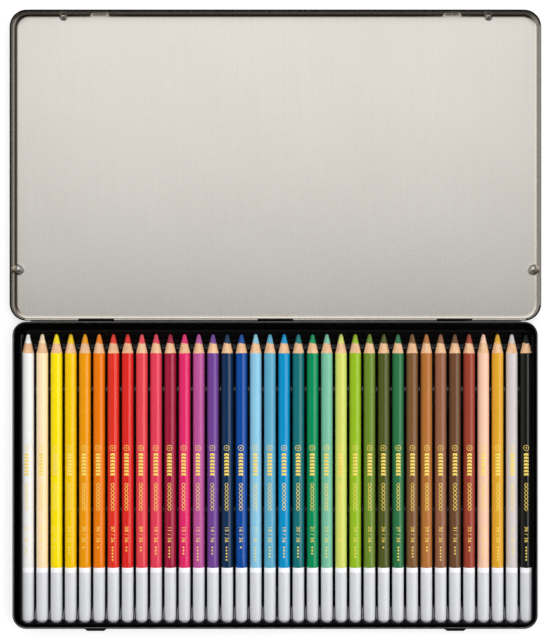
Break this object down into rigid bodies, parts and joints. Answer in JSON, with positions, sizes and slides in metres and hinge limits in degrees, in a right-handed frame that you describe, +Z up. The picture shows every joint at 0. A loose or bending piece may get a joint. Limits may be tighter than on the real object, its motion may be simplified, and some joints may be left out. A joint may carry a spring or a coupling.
{
  "type": "colored pencil tin",
  "caption": "Flat hinged tin, standing open, with a formed tray that holds a row of round coloured pencils side by side.",
  "frame": {"origin": "centre of the base's underside", "axes": "+X along the row of pencils to the right, +Y towards the hinge and the open lid, +Z up"},
  "size_m": [0.3206, 0.375, 0.0113],
  "materials": {
    "black_enamel": "black lacquered tinplate, satin",
    "tinplate": "plain tinplate inside, black lacquer outside",
    "black_plastic": "thin formed plastic sheet, satin gloss",
    "pencil_white": "white gloss lacquer on wood, with a lead of the same colour",
    "pencil_cream": "cream gloss lacquer on wood, with a lead of the same colour",
    "pencil_lemon": "lemon gloss lacquer on wood, with a lead of the same colour",
    "pencil_golden_yellow": "golden yellow gloss lacquer on wood, with a lead of the same colour",
    "pencil_amber": "amber gloss lacquer on wood, with a lead of the same colour",
    "pencil_orange": "orange gloss lacquer on wood, with a lead of the same colour",
    "pencil_vermilion": "vermilion gloss lacquer on wood, with a lead of the same colour",
    "pencil_scarlet": "scarlet gloss lacquer on wood, with a lead of the same colour",
    "pencil_rose_red": "rose red gloss lacquer on wood, with a lead of the same colour",
    "pencil_crimson": "crimson gloss lacquer on wood, with a lead of the same colour",
    "pencil_wine_red": "wine red gloss lacquer on wood, with a lead of the same colour",
    "pencil_pink": "pink gloss lacquer on wood, with a lead of the same colour",
    "pencil_magenta": "magenta gloss lacquer on wood, with a lead of the same colour",
    "pencil_violet": "violet gloss lacquer on wood, with a lead of the same colour",
    "pencil_navy": "navy gloss lacquer on wood, with a lead of the same colour",
    "pencil_royal_blue": "royal blue gloss lacquer on wood, with a lead of the same colour",
    "pencil_light_blue": "light blue gloss lacquer on wood, with a lead of the same colour",
    "pencil_sky_blue": "sky blue gloss lacquer on wood, with a lead of the same colour",
    "pencil_cerulean": "cerulean gloss lacquer on wood, with a lead of the same colour",
    "pencil_teal": "teal gloss lacquer on wood, with a lead of the same colour",
    "pencil_green": "green gloss lacquer on wood, with a lead of the same colour",
    "pencil_mint": "mint gloss lacquer on wood, with a lead of the same colour",
    "pencil_yellow_green": "yellow green gloss lacquer on wood, with a lead of the same colour",
    "pencil_grass_green": "grass green gloss lacquer on wood, with a lead of the same colour",
    "pencil_olive": "olive gloss lacquer on wood, with a lead of the same colour",
    "pencil_dark_green": "dark green gloss lacquer on wood, with a lead of the same colour",
    "pencil_moss_green": "moss green gloss lacquer on wood, with a lead of the same colour",
    "pencil_mid_brown": "mid brown gloss lacquer on wood, with a lead of the same colour",
    "pencil_orange_brown": "orange brown gloss lacquer on wood, with a lead of the same colour",
    "pencil_pinkish_brown": "pinkish brown gloss lacquer on wood, with a lead of the same colour",
    "pencil_dark_brown": "dark brown gloss lacquer on wood, with a lead of the same colour",
    "pencil_brick_red": "brick red gloss lacquer on wood, with a lead of the same colour",
    "pencil_peach": "peach gloss lacquer on wood, with a lead of the same colour",
    "pencil_ochre": "ochre gloss lacquer on wood, with a lead of the same colour",
    "pencil_light_grey": "light grey gloss lacquer on wood, with a lead of the same colour",
    "pencil_black": "black gloss lacquer on wood, with a lead of the same colour"
  },
  "bodies": {
    "base": {"base": "black_enamel"},
    "lid": {"lid": "tinplate"},
    "tray": {"tray": "black_plastic"},
    "pencil_01": {"pencil_01": "pencil_white"},
    "pencil_02": {"pencil_02": "pencil_cream"},
    "pencil_03": {"pencil_03": "pencil_lemon"},
    "pencil_04": {"pencil_04": "pencil_golden_yellow"},
    "pencil_05": {"pencil_05": "pencil_amber"},
    "pencil_06": {"pencil_06": "pencil_orange"},
    "pencil_07": {"pencil_07": "pencil_vermilion"},
    "pencil_08": {"pencil_08": "pencil_scarlet"},
    "pencil_09": {"pencil_09": "pencil_rose_red"},
    "pencil_10": {"pencil_10": "pencil_crimson"},
    "pencil_11": {"pencil_11": "pencil_wine_red"},
    "pencil_12": {"pencil_12": "pencil_pink"},
    "pencil_13": {"pencil_13": "pencil_magenta"},
    "pencil_14": {"pencil_14": "pencil_violet"},
    "pencil_15": {"pencil_15": "pencil_navy"},
    "pencil_16": {"pencil_16": "pencil_royal_blue"},
    "pencil_17": {"pencil_17": "pencil_light_blue"},
    "pencil_18": {"pencil_18": "pencil_sky_blue"},
    "pencil_19": {"pencil_19": "pencil_cerulean"},
    "pencil_20": {"pencil_20": "pencil_teal"},
    "pencil_21": {"pencil_21": "pencil_green"},
    "pencil_22": {"pencil_22": "pencil_mint"},
    "pencil_23": {"pencil_23": "pencil_yellow_green"},
    "pencil_24": {"pencil_24": "pencil_grass_green"},
    "pencil_25": {"pencil_25": "pencil_olive"},
    "pencil_26": {"pencil_26": "pencil_dark_green"},
    "pencil_27": {"pencil_27": "pencil_moss_green"},
    "pencil_28": {"pencil_28": "pencil_mid_brown"},
    "pencil_29": {"pencil_29": "pencil_orange_brown"},
    "pencil_30": {"pencil_30": "pencil_pinkish_brown"},
    "pencil_31": {"pencil_31": "pencil_dark_brown"},
    "pencil_32": {"pencil_32": "pencil_brick_red"},
    "pencil_33": {"pencil_33": "pencil_peach"},
    "pencil_34": {"pencil_34": "pencil_ochre"},
    "pencil_35": {"pencil_35": "pencil_light_grey"},
    "pencil_36": {"pencil_36": "pencil_black"}
  },
  "joints": [
    {"name": "lid_hinge", "type": "hinge", "parent": "base", "child": "lid", "pos_m": [0, 0.0933, 0.007], "axis": [-1, 0, 0], "range_deg": [-180, 0]},
    {"name": "tray_lift", "type": "slide", "parent": "base", "child": "tray", "axis": [0, 0, 1], "range_m": [0, 0.025]},
    {"name": "pencil_01_lift", "type": "slide", "parent": "tray", "child": "pencil_01", "axis": [0, 0, 1], "range_m": [0, 0.02]},
    {"name": "pencil_02_lift", "type": "slide", "parent": "tray", "child": "pencil_02", "axis": [0, 0, 1], "range_m": [0, 0.02]},
    {"name": "pencil_03_lift", "type": "slide", "parent": "tray", "child": "pencil_03", "axis": [0, 0, 1], "range_m": [0, 0.02]},
    {"name": "pencil_04_lift", "type": "slide", "parent": "tray", "child": "pencil_04", "axis": [0, 0, 1], "range_m": [0, 0.02]},
    {"name": "pencil_05_lift", "type": "slide", "parent": "tray", "child": "pencil_05", "axis": [0, 0, 1], "range_m": [0, 0.02]},
    {"name": "pencil_06_lift", "type": "slide", "parent": "tray", "child": "pencil_06", "axis": [0, 0, 1], "range_m": [0, 0.02]},
    {"name": "pencil_07_lift", "type": "slide", "parent": "tray", "child": "pencil_07", "axis": [0, 0, 1], "range_m": [0, 0.02]},
    {"name": "pencil_08_lift", "type": "slide", "parent": "tray", "child": "pencil_08", "axis": [0, 0, 1], "range_m": [0, 0.02]},
    {"name": "pencil_09_lift", "type": "slide", "parent": "tray", "child": "pencil_09", "axis": [0, 0, 1], "range_m": [0, 0.02]},
    {"name": "pencil_10_lift", "type": "slide", "parent": "tray", "child": "pencil_10", "axis": [0, 0, 1], "range_m": [0, 0.02]},
    {"name": "pencil_11_lift", "type": "slide", "parent": "tray", "child": "pencil_11", "axis": [0, 0, 1], "range_m": [0, 0.02]},
    {"name": "pencil_12_lift", "type": "slide", "parent": "tray", "child": "pencil_12", "axis": [0, 0, 1], "range_m": [0, 0.02]},
    {"name": "pencil_13_lift", "type": "slide", "parent": "tray", "child": "pencil_13", "axis": [0, 0, 1], "range_m": [0, 0.02]},
    {"name": "pencil_14_lift", "type": "slide", "parent": "tray", "child": "pencil_14", "axis": [0, 0, 1], "range_m": [0, 0.02]},
    {"name": "pencil_15_lift", "type": "slide", "parent": "tray", "child": "pencil_15", "axis": [0, 0, 1], "range_m": [0, 0.02]},
    {"name": "pencil_16_lift", "type": "slide", "parent": "tray", "child": "pencil_16", "axis": [0, 0, 1], "range_m": [0, 0.02]},
    {"name": "pencil_17_lift", "type": "slide", "parent": "tray", "child": "pencil_17", "axis": [0, 0, 1], "range_m": [0, 0.02]},
    {"name": "pencil_18_lift", "type": "slide", "parent": "tray", "child": "pencil_18", "axis": [0, 0, 1], "range_m": [0, 0.02]},
    {"name": "pencil_19_lift", "type": "slide", "parent": "tray", "child": "pencil_19", "axis": [0, 0, 1], "range_m": [0, 0.02]},
    {"name": "pencil_20_lift", "type": "slide", "parent": "tray", "child": "pencil_20", "axis": [0, 0, 1], "range_m": [0, 0.02]},
    {"name": "pencil_21_lift", "type": "slide", "parent": "tray", "child": "pencil_21", "axis": [0, 0, 1], "range_m": [0, 0.02]},
    {"name": "pencil_22_lift", "type": "slide", "parent": "tray", "child": "pencil_22", "axis": [0, 0, 1], "range_m": [0, 0.02]},
    {"name": "pencil_23_lift", "type": "slide", "parent": "tray", "child": "pencil_23", "axis": [0, 0, 1], "range_m": [0, 0.02]},
    {"name": "pencil_24_lift", "type": "slide", "parent": "tray", "child": "pencil_24", "axis": [0, 0, 1], "range_m": [0, 0.02]},
    {"name": "pencil_25_lift", "type": "slide", "parent": "tray", "child": "pencil_25", "axis": [0, 0, 1], "range_m": [0, 0.02]},
    {"name": "pencil_26_lift", "type": "slide", "parent": "tray", "child": "pencil_26", "axis": [0, 0, 1], "range_m": [0, 0.02]},
    {"name": "pencil_27_lift", "type": "slide", "parent": "tray", "child": "pencil_27", "axis": [0, 0, 1], "range_m": [0, 0.02]},
    {"name": "pencil_28_lift", "type": "slide", "parent": "tray", "child": "pencil_28", "axis": [0, 0, 1], "range_m": [0, 0.02]},
    {"name": "pencil_29_lift", "type": "slide", "parent": "tray", "child": "pencil_29", "axis": [0, 0, 1], "range_m": [0, 0.02]},
    {"name": "pencil_30_lift", "type": "slide", "parent": "tray", "child": "pencil_30", "axis": [0, 0, 1], "range_m": [0, 0.02]},
    {"name": "pencil_31_lift", "type": "slide", "parent": "tray", "child": "pencil_31", "axis": [0, 0, 1], "range_m": [0, 0.02]},
    {"name": "pencil_32_lift", "type": "slide", "parent": "tray", "child": "pencil_32", "axis": [0, 0, 1], "range_m": [0, 0.02]},
    {"name": "pencil_33_lift", "type": "slide", "parent": "tray", "child": "pencil_33", "axis": [0, 0, 1], "range_m": [0, 0.02]},
    {"name": "pencil_34_lift", "type": "slide", "parent": "tray", "child": "pencil_34", "axis": [0, 0, 1], "range_m": [0, 0.02]},
    {"name": "pencil_35_lift", "type": "slide", "parent": "tray", "child": "pencil_35", "axis": [0, 0, 1], "range_m": [0, 0.02]},
    {"name": "pencil_36_lift", "type": "slide", "parent": "tray", "child": "pencil_36", "axis": [0, 0, 1], "range_m": [0, 0.02]}
  ]
}
